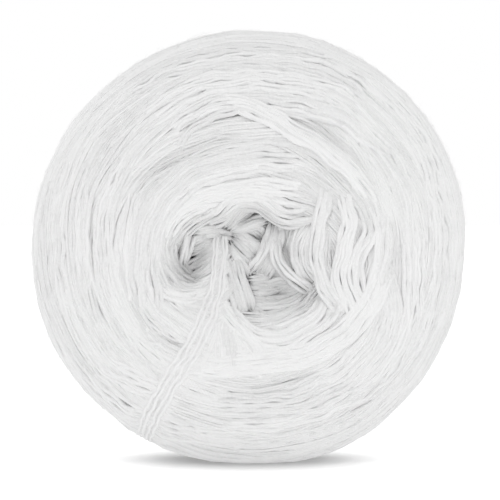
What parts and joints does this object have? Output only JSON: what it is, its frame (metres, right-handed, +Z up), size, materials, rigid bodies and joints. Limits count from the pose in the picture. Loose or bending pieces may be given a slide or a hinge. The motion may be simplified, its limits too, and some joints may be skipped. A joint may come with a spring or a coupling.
{
  "type": "cake of merino yarn",
  "caption": "Round wound cake of soft white merino yarn standing on its rim, with a sunken middle and a loose end over its face.",
  "frame": {"origin": "on the floor under the middle of the cake, at the bottom centre of its bounding box", "axes": "+Z up, +Y from the cake's face to its back along the axis it is wound on, +X to the right seen from the face"},
  "size_m": [0.1208, 0.072, 0.1202],
  "materials": {
    "merino_wool": "soft matte white wool",
    "loose_wool": "soft matte white wool"
  },
  "bodies": {
    "root": {"yarn_cake": "merino_wool", "loose_thread_1": "loose_wool", "loose_thread_2": "loose_wool", "loose_thread_3": "loose_wool", "loose_thread_4": "loose_wool"}
  },
  "joints": []
}
